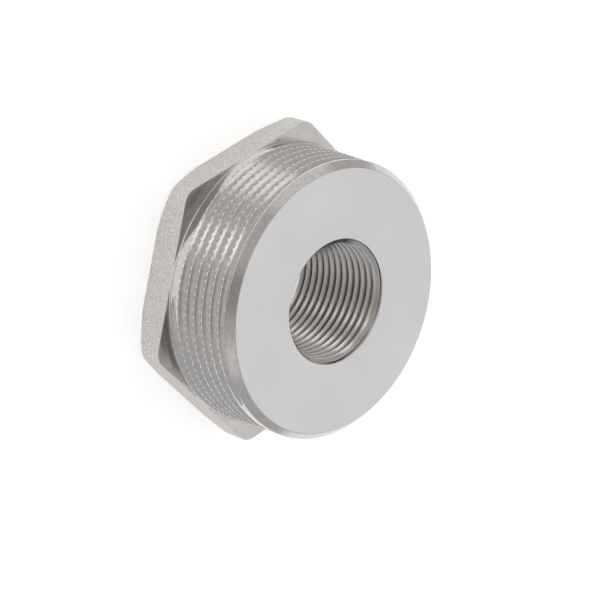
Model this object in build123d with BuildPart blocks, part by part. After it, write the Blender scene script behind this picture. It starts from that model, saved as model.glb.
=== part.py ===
from build123d import *
from math import atan, degrees, radians, tan
import os

# Hex reducing bushing, 2 in to 3/4 in, cast in stainless steel and turned, all in one piece.
# It stands on the back of its hexagon at Z = 0, with the bore on the Z axis, and the male
# thread points up. Flat number one of the hexagon faces +X. All sizes are in millimetres.

# ---- Hexagon and collar ----
across_flats = 60.0
hex_height = 7.1              # from the back face to the top of the collar
collar_rise = 0.4             # how far the round collar stands above the hexagon
corner_radius = 3.5           # the soft upright corners of the casting
back_land_diameter = 62.6     # where the chamfer of the back corners begins
back_chamfer_angle = 30.0     # degrees from the back face

# ---- Turned body ----
overall_length = 24.4
end_chamfer = 1.45            # 45 degrees, at the end of the male thread

# ---- Male thread: R 2, 11 turns to the inch, on a 1 in 16 taper ----
male_pitch = 2.309
male_end_diameter = 58.62     # over the crests, at the end face
male_taper = 1 / 16           # change of diameter along the length
male_start_angle = 144.0      # where the groove reaches its full depth beside the collar
male_end_gap = 2.42           # from the last full groove to the end face
male_runout = 10.5            # straight run-out at both ends of the groove

# ---- Bore: tapped Rp 3/4, 14 turns to the inch, right through ----
# The bore is plain here, at the crests of its thread. The fine turns themselves are left out.
female_pitch = 1.814
female_major_diameter = 26.441
mouth_clearance = 0.08        # how far the 45 degree mouth chamfers reach past the roots

# ---- 55 degree thread form, which sets the depth of both threads ----
flank_angle = 55.0 / 2
depth_per_pitch = 0.640327
flat_per_pitch = 1 / 6        # width of the flat root
cutter_clearance = 0.1        # how far a thread cutter stands out of the metal

# ---- Worked out from the sizes above ----
flank_slope = tan(radians(flank_angle))
taper_slope = male_taper / 2
male_depth = male_pitch * depth_per_pitch
male_half_groove = male_pitch * flat_per_pitch / 2 + male_depth * flank_slope
male_start_z = hex_height + male_half_groove
male_end_z = overall_length - male_end_gap
female_depth = female_pitch * depth_per_pitch
female_root_radius = female_major_diameter / 2
bore_radius = female_root_radius - female_depth
mouth_radius = female_root_radius + mouth_clearance
mouth_chamfer = mouth_radius - bore_radius
back_cone_radius = back_land_diameter / 2 + hex_height / tan(radians(back_chamfer_angle))


def male_crest_radius(z):
    """Radius over the crests of the tapered thread, at a height above the back face."""
    return male_end_diameter / 2 + taper_slope * (overall_length - z)


def male_groove_section(position):
    """The male groove's section, square to its path at the start (0) or the end (1)."""
    start = male_path @ position
    outwards = Vector(start.X, start.Y, 0)
    reach = male_depth + cutter_clearance
    half_root = male_pitch * flat_per_pitch / 2
    half_mouth = half_root + reach * flank_slope
    with BuildSketch(Plane(start, x_dir=outwards, z_dir=male_path % position)) as section:
        Polygon(
            (0, -half_root), (reach, -half_mouth), (reach, half_mouth), (0, half_root),
            align=None,
        )
    return section.sketch


# The male groove's path is the helix of its root, turned to the angle where it starts.
with BuildLine() as male_helix:
    Helix(
        pitch=male_pitch,
        height=male_end_z - male_start_z,
        radius=male_crest_radius(male_start_z) - male_depth,
        center=(0, 0, male_start_z),
        cone_angle=-degrees(atan(taper_slope)),
    )
male_path = male_helix.line.rotate(Axis.Z, male_start_angle)

with BuildPart() as hex_bushing:
    # The cast hexagon, with soft corners and a chamfer turned off the back of them.
    with BuildSketch():
        RegularPolygon(radius=across_flats / 2, side_count=6, major_radius=False, rotation=30)
        fillet(vertices(), radius=corner_radius)
    extrude(amount=hex_height - collar_rise)

    with BuildSketch(Plane.XZ):
        with BuildLine():
            Polyline(
                (0, 0),
                (back_land_diameter / 2, 0),
                (back_cone_radius, hex_height),
                (0, hex_height),
                close=True,
            )
        make_face()
    revolve(axis=Axis.Z, mode=Mode.INTERSECT)

    # The turned body: collar, tapered blank of the male thread and end chamfer.
    chamfer_start = overall_length - end_chamfer
    with BuildSketch(Plane.XZ):
        with BuildLine():
            Polyline(
                (0, 0),
                (bore_radius, 0),
                (across_flats / 2, hex_height - collar_rise),
                (across_flats / 2, hex_height),
                (male_crest_radius(hex_height), hex_height),
                (male_crest_radius(chamfer_start), chamfer_start),
                (male_crest_radius(chamfer_start) - end_chamfer, overall_length),
                (0, overall_length),
                close=True,
            )
        make_face()
    revolve(axis=Axis.Z)

    # The bore, with a 45 degree chamfer at each mouth.
    with BuildSketch(Plane.XZ):
        with BuildLine():
            Polyline(
                (0, 0),
                (mouth_radius, 0),
                (bore_radius, mouth_chamfer),
                (bore_radius, overall_length - mouth_chamfer),
                (mouth_radius, overall_length),
                (0, overall_length),
                close=True,
            )
        make_face()
    revolve(axis=Axis.Z, mode=Mode.SUBTRACT)

    # The male groove leaves the metal on a straight line at each end.
    sweep(male_groove_section(0), path=male_path, is_frenet=True, mode=Mode.SUBTRACT)
    extrude(male_groove_section(0), amount=-male_runout, mode=Mode.SUBTRACT)
    extrude(male_groove_section(1), amount=male_runout, mode=Mode.SUBTRACT)

hex_bushing.part.label = "hex_bushing"

os.makedirs("parts", exist_ok=True)
export_step(hex_bushing.part, "parts/hex_bushing.step")
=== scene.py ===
import bpy
import bmesh
from math import atan2, cos, degrees, pi, radians, sin, sqrt, tan
from mathutils import Euler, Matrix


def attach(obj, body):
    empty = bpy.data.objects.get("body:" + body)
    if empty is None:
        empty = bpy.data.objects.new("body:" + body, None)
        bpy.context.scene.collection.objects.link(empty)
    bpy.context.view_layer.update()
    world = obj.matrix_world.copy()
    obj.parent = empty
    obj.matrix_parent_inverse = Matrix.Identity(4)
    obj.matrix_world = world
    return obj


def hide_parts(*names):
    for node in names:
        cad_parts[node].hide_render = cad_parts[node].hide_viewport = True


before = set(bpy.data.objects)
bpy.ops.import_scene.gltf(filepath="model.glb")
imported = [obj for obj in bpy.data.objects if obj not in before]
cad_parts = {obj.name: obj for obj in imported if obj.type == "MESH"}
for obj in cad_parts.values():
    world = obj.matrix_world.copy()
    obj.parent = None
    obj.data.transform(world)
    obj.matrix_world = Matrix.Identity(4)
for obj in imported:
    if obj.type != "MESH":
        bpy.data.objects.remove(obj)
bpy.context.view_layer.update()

# ---------------------------------------------------------------------------------------
# Blank: the stainless casting with its hexagon, and the faces that the lathe has cleaned.
# Investment cast in one piece; the back, the end face, the collar, the lead chamfer and
# both mouths are turned. It stands on the back of the hexagon with the bore on the Z axis.
# ---------------------------------------------------------------------------------------
mm = 0.001
columns = 354
overall_length = 24.4 * mm
hex_height = 7.1 * mm
hex_apothem = 30.0 * mm
hex_corner_radius = 3.5 * mm
hex_front_z = 6.7 * mm
hex_edge = 0.2 * mm
collar_radius = 30.0 * mm
collar_edge = 0.24 * mm
back_land_radius = 31.3 * mm
back_chamfer_slope = tan(radians(30))
back_edge = 0.15 * mm
mouth_radius = 13.3 * mm
rim_depth = 0.08 * mm
male_end_radius = 29.31 * mm
male_taper_slope = 1 / 32
lead_chamfer = 1.45 * mm
turned_edge = 0.16 * mm
chamfer_foot = overall_length - lead_chamfer
same_point = 0.0005 * mm


def crest_radius(z):
    """Radius of the turned taper that the male thread is cut in, at a height."""
    return male_end_radius + male_taper_slope * (overall_length - z)


end_face_radius = crest_radius(chamfer_foot) - lead_chamfer


def hexagon_radius(angle):
    """Distance from the axis to the hexagon's outline, with its rounded corners."""
    off_flat = (degrees(angle) + 30) % 60 - 30
    inset = hex_apothem - hex_corner_radius
    tangent_at = degrees(atan2(inset * tan(radians(30)), hex_apothem))
    if abs(off_flat) <= tangent_at:
        return hex_apothem / cos(radians(off_flat))
    corner_centre = inset / cos(radians(30))
    off_corner = radians(30 - abs(off_flat))
    reach = corner_centre * sin(off_corner)
    return corner_centre * cos(off_corner) + sqrt(hex_corner_radius**2 - reach**2)


def hexagon_row(row, angle):
    """Radius and height of one row of the hexagon's section, at an angle round the axis."""
    outline = hexagon_radius(angle)
    past_land = max(0.0, outline - back_land_radius)
    chamfer_z = past_land * back_chamfer_slope
    edge = min(hex_edge, outline - collar_radius)
    return {
        "back rim": (min(outline, back_land_radius) - back_edge, 0.0),
        "back rim outer": (min(outline, back_land_radius), 0.3 * back_edge),
        "chamfer top": (outline - 0.02 * mm, chamfer_z + 0.5 * back_edge),
        "flat low": (outline, chamfer_z + back_edge),
        "flat middle": (outline, 0.5 * (chamfer_z + hex_front_z)),
        "flat high": (outline, hex_front_z - hex_edge),
        "front edge": (outline - 0.29 * edge, hex_front_z - 0.29 * hex_edge),
        "front rim": (outline - edge, hex_front_z),
        "collar foot": (collar_radius, hex_front_z),
    }[row]


hexagon_rows = [
    "back rim", "back rim outer", "chamfer top", "flat low", "flat middle", "flat high",
    "front edge", "front rim", "collar foot",
]


def spun(rows, climb=0.0):
    """Spin an open section of (radius, height) rows round Z, climbing like a screw.

    One sixth of the way round is spun, and then copied five times.
    """
    strip = bmesh.new()
    section = [strip.verts.new((radius, 0, height)) for radius, height in rows]
    edges = [strip.edges.new(pair) for pair in zip(section, section[1:])]
    bmesh.ops.spin(
        strip, geom=section + edges, cent=(0, 0, 0), axis=(0, 0, 1), angle=pi / 3,
        dvec=(0, 0, climb / columns), steps=columns // 6, use_merge=False, use_duplicate=False,
    )
    bmesh.ops.spin(
        strip, geom=strip.verts[:] + strip.edges[:] + strip.faces[:], cent=(0, 0, 0),
        axis=(0, 0, 1), angle=5 * pi / 3, dvec=(0, 0, climb / 6), steps=5, use_merge=False,
        use_duplicate=True,
    )
    bmesh.ops.remove_doubles(strip, verts=strip.verts, dist=same_point)
    return strip


def place(vert, radius, angle, height):
    vert.co = (radius * cos(angle), radius * sin(angle), height)


bushing_mesh = bmesh.new()


def join_strip(strip, finish):
    """Add a finished strip to the bushing, with one finish on all of it."""
    for face in strip.faces:
        face.material_index = finish
    joined = bpy.data.meshes.new("strip")
    strip.to_mesh(joined)
    strip.free()
    bushing_mesh.from_mesh(joined)
    bpy.data.meshes.remove(joined)


cast_finish, turned_finish, thread_finish, shoulder_painted_shade_slot = range(4)
tapped_painted_shade_slot, nick_painted_shade_slot, crest_painted_highlight_slot = range(4, 7)

# The broken edge of a mouth, as (radius, depth below the face) rows from the bore out.
mouth_rim = [
    (mouth_radius - rim_depth, rim_depth),
    (mouth_radius, 0.3 * rim_depth),
    (mouth_radius + 1.2 * rim_depth, 0.0),
    (mouth_radius + 3.5 * rim_depth, 0.0),
]

# Back mouth, back face, hexagon and collar, from inside to outside and up. The rows of the
# hexagon are spun on circles from the marker out, and then moved to its outline.
base_rows = mouth_rim + [(20 * mm, 0.0), (26 * mm, 0.0)]
marker = 40 * mm
for index in range(len(hexagon_rows)):
    base_rows.append((marker + index * mm, 0.0))
base_rows += [
    (collar_radius, hex_front_z + 0.04 * mm),
    (collar_radius, hex_height - collar_edge),
    (collar_radius - 0.03 * mm, hex_height - 0.55 * collar_edge),
    (collar_radius - 0.08 * mm, hex_height - 0.2 * collar_edge),
    (crest_radius(hex_height), hex_height),
]
base = spun(base_rows)
for vert in base.verts:
    radius = vert.co.xy.length
    if radius > marker - 0.5 * mm:
        angle = atan2(vert.co.y, vert.co.x)
        row_radius, height = hexagon_row(hexagon_rows[round((radius - marker) / mm)], angle)
        place(vert, row_radius, angle, height)
join_strip(base, turned_finish)

# Lead chamfer, end face and front mouth.
top = spun([
    (crest_radius(chamfer_foot), chamfer_foot),
    (end_face_radius + 0.6 * lead_chamfer, overall_length - 0.6 * lead_chamfer),
    (end_face_radius + turned_edge, overall_length - turned_edge),
    (end_face_radius + 0.3 * turned_edge, overall_length - 0.3 * turned_edge),
    (end_face_radius - 0.4 * turned_edge, overall_length),
    (end_face_radius - 3 * turned_edge, overall_length),
    (22 * mm, overall_length),
    (17 * mm, overall_length),
] + [(radius, overall_length - depth) for radius, depth in reversed(mouth_rim)])
join_strip(top, turned_finish)

# ---------------------------------------------------------------------------------------
# Male thread: R 2, 11 turns to the inch on a 1 in 16 taper, cut on the lathe in the blank.
# One V groove winds from the collar to just short of the lead chamfer, and runs out of the
# metal on a straight line at both ends. Its crests are nicked along the axis, for sealing.
# ---------------------------------------------------------------------------------------
male_pitch = 2.309 * mm
depth_share = 0.640327
radii_share = 0.2746
flank_slope = tan(radians(27.5))
male_depth = depth_share * male_pitch
male_first_centre = 7.1385 * mm
male_first_turn = 0.400
male_last_turn = 6.428
male_crest_share = 0.075
nick_depth = 0.14 * mm
faint_nick_depth = 0.03 * mm
nick_every = 3
clear_of_metal = radians(30)


def thread_section(pitch, crest_share):
    """One pitch of the rounded 55 degree form, as (offset, depth) rows from a root on.

    The flanks stay at 27.5 degrees and the depth at that of the form, so a sharper crest
    goes with a rounder root. The share is the crest's radius over the pitch.
    """
    depth = depth_share * pitch
    root_share = radii_share - crest_share
    curves = []
    for share in (root_share, crest_share):
        radius = share * pitch
        across = [radius * sin(radians(angle)) for angle in (0, 25, 46, 62.5)]
        curves.append([(offset, radius - sqrt(radius**2 - offset**2)) for offset in across])
    root_side = [(offset, depth - drop) for offset, drop in curves[0] if offset != curves[0][2][0]]
    crest_side = [(0.5 * pitch - offset, drop) for offset, drop in reversed(curves[1])]
    half = root_side + crest_side
    return half + [(pitch - offset, row_depth) for offset, row_depth in reversed(half[1:-1])]


def nearest_turn(angle, height):
    """The groove's turn that runs nearest to a height, at an angle, in turns from its zero."""
    turn = angle / (2 * pi)
    return turn + round((height - male_first_centre) / male_pitch - turn)


def lift_of_tool(angle_past, root_radius):
    """How far the tool stands out of the full groove, where it leaves on a straight line."""
    if angle_past <= 0:
        return 0.0
    if angle_past > clear_of_metal:
        return male_depth
    return min(male_depth, root_radius * (1 / cos(angle_past) - 1))


section = thread_section(male_pitch, male_crest_share)


def depth_at_collar(angle):
    """How deep the groove is where it opens into the collar's face, at an angle."""
    turn = nearest_turn(angle, hex_height)
    offset = abs(hex_height - male_first_centre - turn * male_pitch)
    past = (male_first_turn - turn) * 2 * pi
    for (near, near_depth), (far, far_depth) in zip(section, section[1:]):
        if near <= offset <= far:
            full = near_depth + (far_depth - near_depth) * (offset - near) / (far - near)
            return max(0.0, full - lift_of_tool(past, crest_radius(hex_height) - male_depth))
    return 0.0


for vert in bushing_mesh.verts:
    on_plane = abs(vert.co.z - hex_height) < 0.001 * mm
    if on_plane and abs(vert.co.xy.length - crest_radius(hex_height)) < 0.001 * mm:
        angle = atan2(vert.co.y, vert.co.x) % (2 * pi)
        place(vert, crest_radius(hex_height) - depth_at_collar(angle), angle, hex_height)

crest_edge = male_crest_share * male_pitch * (1 - cos(radians(62.5)))
root_edge = (radii_share - male_crest_share) * male_pitch * sin(radians(62.5))
least_reach = root_edge + 0.03 * mm
rows = []
for turn in range(-2, 8):
    for offset, depth in section:
        rows.append((crest_radius(0) - depth, male_first_centre + turn * male_pitch + offset))
male = spun(rows, climb=male_pitch)
for vert in male.verts:
    depth = crest_radius(0) - vert.co.xy.length
    angle = atan2(vert.co.y, vert.co.x) % (2 * pi)
    nicked = round(angle / (2 * pi) * columns) % nick_every == 0
    turn = nearest_turn(angle, vert.co.z)
    past = max(male_first_turn - turn, turn - male_last_turn) * 2 * pi
    lift = lift_of_tool(past, crest_radius(vert.co.z) - male_depth)
    nick = 0.0
    if nicked and past < 0:
        nick = nick_depth
    elif nicked and turn > male_last_turn:
        nick = faint_nick_depth

    # The edge of the groove slides down its flank where the tool lifts or a nick is cut.
    offset = vert.co.z - male_first_centre - turn * male_pitch
    missing = max(lift, nick) - depth
    if missing > 0 and depth > 0.9 * crest_edge:
        reach = max(abs(offset) - missing * flank_slope, least_reach)
        offset = reach if offset > 0 else -reach
    height = male_first_centre + turn * male_pitch + offset
    depth = max(depth - lift, nick, 0.0)
    if not hex_height <= height <= chamfer_foot:
        depth = depth_at_collar(angle) if height < hex_height else 0.0
        height = min(max(height, hex_height), chamfer_foot)
    place(vert, crest_radius(height) - depth, angle, height)
join_strip(male, thread_finish)

# ---------------------------------------------------------------------------------------
# Female thread: Rp 3/4, 14 turns to the inch, tapped right through the bore.
# The chamfers of both mouths are cut over it, so the first turns fade into them.
# ---------------------------------------------------------------------------------------
female_pitch = 1.814 * mm
female_depth = depth_share * female_pitch
female_crest_radius = 0.5 * 26.441 * mm - female_depth
female_first_centre = 20.584 * mm - 12 * female_pitch
female_crest_share = 0.11

rows = []
for turn in range(-1, 15):
    for offset, depth in thread_section(female_pitch, female_crest_share):
        rows.append(
            (female_crest_radius + depth, female_first_centre + turn * female_pitch + offset)
        )
female = spun(rows, climb=female_pitch)
for vert in female.verts:
    angle = atan2(vert.co.y, vert.co.x)
    height = min(max(vert.co.z, rim_depth), overall_length - rim_depth)
    into_mouth = min(height, overall_length - height)
    radius = max(vert.co.xy.length, mouth_radius - into_mouth)
    if height != vert.co.z:
        radius = mouth_radius - rim_depth
    place(vert, radius, angle, height)
join_strip(female, tapped_painted_shade_slot)

# ---------------------------------------------------------------------------------------
# The finished bushing: the strips meet on shared circles, so merging closes the shell.
# Seven finishes of one stainless steel: cast skin on the flats, turned faces, the cut thread
# with crests lightened as a painted highlight and nicks darkened as painted shade, the tapped
# thread with painted shade in its roots, and the faced shoulder, darkened as painted shade.
# ---------------------------------------------------------------------------------------
seam_gap = 0.002 * mm
sharp_angle = radians(38)
nick_tilt = 0.12
crest_highlight_band = (0.004 * mm, 0.06 * mm)

bmesh.ops.remove_doubles(bushing_mesh, verts=bushing_mesh.verts, dist=seam_gap)
bmesh.ops.dissolve_degenerate(bushing_mesh, edges=bushing_mesh.edges, dist=same_point)
bmesh.ops.recalc_face_normals(bushing_mesh, faces=bushing_mesh.faces)
for edge in bushing_mesh.edges:
    edge.smooth = edge.calc_face_angle(0.0) < sharp_angle
for face in bushing_mesh.faces:
    centre = face.calc_center_median()
    face.smooth = True
    on_flat = abs(face.normal.z) < 0.3 and centre.xy.length > collar_radius - 0.05 * mm
    if on_flat and centre.z < hex_front_z - 0.3 * hex_edge:
        face.material_index = cast_finish
    elif centre.xy.length > end_face_radius and centre.z > chamfer_foot:
        face.material_index = thread_finish
    # The hexagon's front facets take the darker steel: painted shade.
    elif centre.xy.length > collar_radius and centre.z > 0.5 * hex_front_z:
        face.material_index = shoulder_painted_shade_slot
    elif centre.xy.length < mouth_radius:
        into_mouth = min(centre.z, overall_length - centre.z)
        if abs(centre.xy.length + into_mouth - mouth_radius) < 0.02 * mm:
            face.material_index = turned_finish
    elif face.material_index == thread_finish:
        tilt = abs(centre.x * face.normal.y - centre.y * face.normal.x) / centre.xy.length
        below_crest = crest_radius(centre.z) - centre.xy.length
        turn = nearest_turn(atan2(centre.y, centre.x) % (2 * pi), centre.z)
        if male_first_turn < turn < male_last_turn:
            # Nicks take the darker steel: painted shade.
            if tilt > nick_tilt and below_crest < nick_depth:
                face.material_index = nick_painted_shade_slot
            # Crest bands take the lighter steel: a painted highlight.
            elif crest_highlight_band[0] < below_crest < crest_highlight_band[1]:
                face.material_index = crest_painted_highlight_slot

mesh = bpy.data.meshes.new("hex_bushing_dressed")
bushing_mesh.to_mesh(mesh)
bushing_mesh.free()
bushing = bpy.data.objects.new("hex_bushing_dressed", mesh)
bpy.context.scene.collection.objects.link(bushing)
outside = bushing.vertex_groups.new(name="outside")
outside_verts = [vert.index for vert in mesh.vertices if vert.co.xy.length > 20 * mm]
outside.add(outside_verts, 1.0, "REPLACE")
flat_flanks = bushing.modifiers.new("flat_flanks", "WEIGHTED_NORMAL")
flat_flanks.vertex_group = "outside"
flat_flanks.mode = "FACE_AREA"
flat_flanks.weight = 90
flat_flanks.keep_sharp = True
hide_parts("hex_bushing")
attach(bushing, "root")


def stainless(name, roughness):
    """A bare stainless finish, with the coordinates of the part that its nodes read."""
    material = bpy.data.materials.new(name)
    material.use_nodes = True
    shader = material.node_tree.nodes["Principled BSDF"]
    shader.inputs["Metallic"].default_value = 1.0
    shader.inputs["Roughness"].default_value = roughness
    part_place = material.node_tree.nodes.new("ShaderNodeTexCoord").outputs["Object"]
    return material, shader, part_place


def grain(material, part_place, scale, detail=3.0, stretch=(1, 1, 1)):
    """A fine noise in the metal, as a pattern from 0 to 1."""
    mapping = material.node_tree.nodes.new("ShaderNodeMapping")
    mapping.inputs["Scale"].default_value = stretch
    texture = material.node_tree.nodes.new("ShaderNodeTexNoise")
    texture.inputs["Scale"].default_value = scale
    texture.inputs["Detail"].default_value = detail
    material.node_tree.links.new(part_place, mapping.inputs["Vector"])
    material.node_tree.links.new(mapping.outputs["Vector"], texture.inputs["Vector"])
    return texture.outputs["Fac"]


def tint(material, shader, pattern, low, high, dark, light):
    """Colour the steel between a dark and a light tone, where a pattern is low or high."""
    node = material.node_tree.nodes.new("ShaderNodeValToRGB")
    node.color_ramp.elements[0].position = low
    node.color_ramp.elements[1].position = high
    node.color_ramp.elements[0].color = (*dark, 1)
    node.color_ramp.elements[1].color = (*light, 1)
    material.node_tree.links.new(pattern, node.inputs["Fac"])
    material.node_tree.links.new(node.outputs["Color"], shader.inputs["Base Color"])


def relief(material, shader, height, strength, distance, under=None):
    """Raise a pattern as fine relief, over another relief where one is given."""
    node = material.node_tree.nodes.new("ShaderNodeBump")
    node.inputs["Strength"].default_value = strength
    node.inputs["Distance"].default_value = distance
    material.node_tree.links.new(height, node.inputs["Height"])
    if under:
        material.node_tree.links.new(under, node.inputs["Normal"])
    material.node_tree.links.new(node.outputs["Normal"], shader.inputs["Normal"])
    return node.outputs["Normal"]


cast, shader, part_place = stainless("cast_skin", 0.42)
fine = grain(cast, part_place, 2500, 3)
tint(cast, shader, fine, 0.34, 0.68, (0.49, 0.475, 0.45), (0.7, 0.685, 0.66))
pits = relief(cast, shader, grain(cast, part_place, 650, 2), 0.3, 0.16 * mm)
relief(cast, shader, fine, 0.4, 0.08 * mm, under=pits)

turned, shader, part_place = stainless("turned_face", 0.2)
mottle = grain(turned, part_place, 60, 2)
tint(turned, shader, mottle, 0.3, 0.7, (0.59, 0.585, 0.59), (0.625, 0.62, 0.625))
tool_marks = turned.node_tree.nodes.new("ShaderNodeTexWave")
tool_marks.wave_type = "RINGS"
tool_marks.rings_direction = "Z"
tool_marks.inputs["Scale"].default_value = 900
tool_marks.inputs["Distortion"].default_value = 0.4
turned.node_tree.links.new(part_place, tool_marks.inputs["Vector"])
relief(turned, shader, tool_marks.outputs["Fac"], 0.05, 0.02 * mm)

threaded, shader, part_place = stainless("cut_thread", 0.17)
torn = grain(threaded, part_place, 900, 2, (1, 1, 2.5))
tint(threaded, shader, torn, 0.3, 0.7, (0.555, 0.545, 0.53), (0.64, 0.63, 0.615))
relief(threaded, shader, torn, 0.05, 0.03 * mm)

# Nicks in a darker steel than the cut thread: painted shade in the nicks.
nick_painted_shade, shader, part_place = stainless("nick_painted_shade", 0.3)
dents = grain(nick_painted_shade, part_place, 900, 2)
tint(nick_painted_shade, shader, dents, 0.3, 0.7, (0.44, 0.43, 0.42), (0.52, 0.51, 0.5))

# Crest bands in a far lighter steel than the cut thread: a painted highlight along the crest
# lines.
crest_painted_highlight, shader, part_place = stainless("crest_painted_highlight_steel", 0.2)
smears = grain(crest_painted_highlight, part_place, 900, 2)
tint(crest_painted_highlight, shader, smears, 0.3, 0.7, (0.76, 0.75, 0.735), (0.88, 0.87, 0.85))

# The tapped thread's colour darkens from its crests into its roots: painted shade in the roots,
# and a painted highlight on the lighter crests.

tapped_painted_shade, shader, part_place = stainless("tapped_thread_painted_shade", 0.17)
flatten = tapped_painted_shade.node_tree.nodes.new("ShaderNodeVectorMath")
flatten.operation = "MULTIPLY"
flatten.inputs[1].default_value = (1, 1, 0)
from_axis = tapped_painted_shade.node_tree.nodes.new("ShaderNodeVectorMath")
from_axis.operation = "LENGTH"
root_painted_shade = tapped_painted_shade.node_tree.nodes.new("ShaderNodeMapRange")
root_painted_shade.inputs["From Min"].default_value = female_crest_radius + 0.45 * female_depth
root_painted_shade.inputs["From Max"].default_value = female_crest_radius + 0.1 * female_depth
tapped_painted_shade.node_tree.links.new(part_place, flatten.inputs[0])
tapped_painted_shade.node_tree.links.new(flatten.outputs["Vector"], from_axis.inputs[0])
tapped_painted_shade.node_tree.links.new(from_axis.outputs["Value"], root_painted_shade.inputs["Value"])
tint(tapped_painted_shade, shader, root_painted_shade.outputs["Result"], 0, 1, (0.5, 0.485, 0.465), (0.72, 0.705, 0.685))

# The hexagon's front facets in a darker steel than the turned faces: painted shade.
shoulder_painted_shade, shader, part_place = stainless("faced_shoulder_painted_shade", 0.22)
scuffs = grain(shoulder_painted_shade, part_place, 400, 3)
tint(shoulder_painted_shade, shader, scuffs, 0.3, 0.7, (0.49, 0.47, 0.445), (0.57, 0.55, 0.53))
relief(shoulder_painted_shade, shader, scuffs, 0.05, 0.04 * mm)

for finish in (cast, turned, threaded, shoulder_painted_shade, tapped_painted_shade, nick_painted_shade, crest_painted_highlight):
    mesh.materials.append(finish)

# ---------------------------------------------------------------------------------------
# Studio: a pale floor, a camera, and a soft grey surround with the patches of light and
# dark that the steel shows. The surround is the same for every ray, and no lamp is added.
# ---------------------------------------------------------------------------------------
floor_mesh = bmesh.new()
bmesh.ops.create_grid(floor_mesh, x_segments=1, y_segments=1, size=3.0)
floor_data = bpy.data.meshes.new("floor")
floor_mesh.to_mesh(floor_data)
floor_mesh.free()
floor = bpy.data.objects.new("floor", floor_data)
bpy.context.scene.collection.objects.link(floor)
pale = bpy.data.materials.new("pale_floor")
pale.use_nodes = True
pale_nodes, pale_links = pale.node_tree.nodes, pale.node_tree.links
pale_shader = pale_nodes["Principled BSDF"]
pale_shader.inputs["Base Color"].default_value = (0.9, 0.9, 0.9, 1)
pale_shader.inputs["Roughness"].default_value = 0.9
pale_shader.inputs["Emission Color"].default_value = (1, 1, 1, 1)
path = pale_nodes.new("ShaderNodeLightPath")
seen = path.outputs["Is Camera Ray"]
for ray in ("Is Glossy Ray", "Is Transmission Ray"):
    either = pale_nodes.new("ShaderNodeMath")
    either.operation = "MAXIMUM"
    pale_links.new(seen, either.inputs[0])
    pale_links.new(path.outputs[ray], either.inputs[1])
    seen = either.outputs["Value"]
floor_glow = pale_nodes.new("ShaderNodeMath")
floor_glow.operation = "MULTIPLY"
floor_glow.inputs[1].default_value = 0.5
pale_links.new(seen, floor_glow.inputs[0])
pale_links.new(floor_glow.outputs["Value"], pale_shader.inputs["Emission Strength"])
floor_data.materials.append(pale)

camera_data = bpy.data.cameras.new("camera")
camera_data.sensor_width = 36.0
camera_data.lens = 169.715
camera_data.clip_start = 0.05
camera = bpy.data.objects.new("camera", camera_data)
camera.location = (-138.3935 * mm, 402.3735 * mm, 414.3422 * mm)
camera.rotation_euler = Euler([radians(a) for a in (-18.72607, -43.69576, -45.14998)])
bpy.context.scene.collection.objects.link(camera)
bpy.context.scene.camera = camera

surround = bpy.data.worlds.new("studio_surround")
bpy.context.scene.world = surround
surround.use_nodes = True
studio_nodes, studio_links = surround.node_tree.nodes, surround.node_tree.links
look = studio_nodes.new("ShaderNodeTexCoord").outputs["Generated"]

# Elevation and azimuth, inner and outer radius, all in degrees, and the light seen there.
# Each patch is laid over those before it. In a colour mix, inputs 6 and 7 are A and B.
patches = [
    (40, -138, 14, 36, (0.55, 0.545, 0.56)),
    (72, 35, 7, 15, (0.55, 0.49, 0.44)),
    (75, 160, 9, 18, (0.42, 0.39, 0.36)),
    (44, 128, 7, 17, (0.37, 0.35, 0.34)),
    (43, -70, 25, 37, (1.0, 0.985, 0.995)),
    (23, 16, 7, 18, (0.84, 0.82, 0.81)),
    (33, 40, 7, 16, (0.83, 0.81, 0.8)),
    (57, 8, 6, 12, (1.25, 1.22, 1.19)),
    (77, 67, 4, 8, (1.7, 1.66, 1.6)),
    (29, 178, 5, 17, (0.8, 0.785, 0.785)),
    (12, 100, 14, 27, (1.15, 1.13, 1.1)),
]
view = studio_nodes.new("ShaderNodeRGB").outputs["Color"]
view.default_value = (0.56, 0.545, 0.53, 1)
for elevation, azimuth, inner, outer, light in patches:
    facing = studio_nodes.new("ShaderNodeVectorMath")
    facing.operation = "DOT_PRODUCT"
    facing.inputs[1].default_value = (
        cos(radians(elevation)) * cos(radians(azimuth)),
        cos(radians(elevation)) * sin(radians(azimuth)),
        sin(radians(elevation)),
    )
    soft_edge = studio_nodes.new("ShaderNodeMapRange")
    soft_edge.interpolation_type = "SMOOTHSTEP"
    soft_edge.inputs["From Min"].default_value = cos(radians(outer))
    soft_edge.inputs["From Max"].default_value = cos(radians(inner))
    blend = studio_nodes.new("ShaderNodeMix")
    blend.data_type = "RGBA"
    blend.inputs[7].default_value = (*light, 1)
    studio_links.new(look, facing.inputs[0])
    studio_links.new(facing.outputs["Value"], soft_edge.inputs["Value"])
    studio_links.new(soft_edge.outputs["Result"], blend.inputs[0])
    studio_links.new(view, blend.inputs[6])
    view = blend.outputs[2]
studio_links.new(view, studio_nodes["Background"].inputs["Color"])
studio_nodes["Background"].inputs["Strength"].default_value = 1.0

bpy.context.scene.view_settings.view_transform = "Standard"
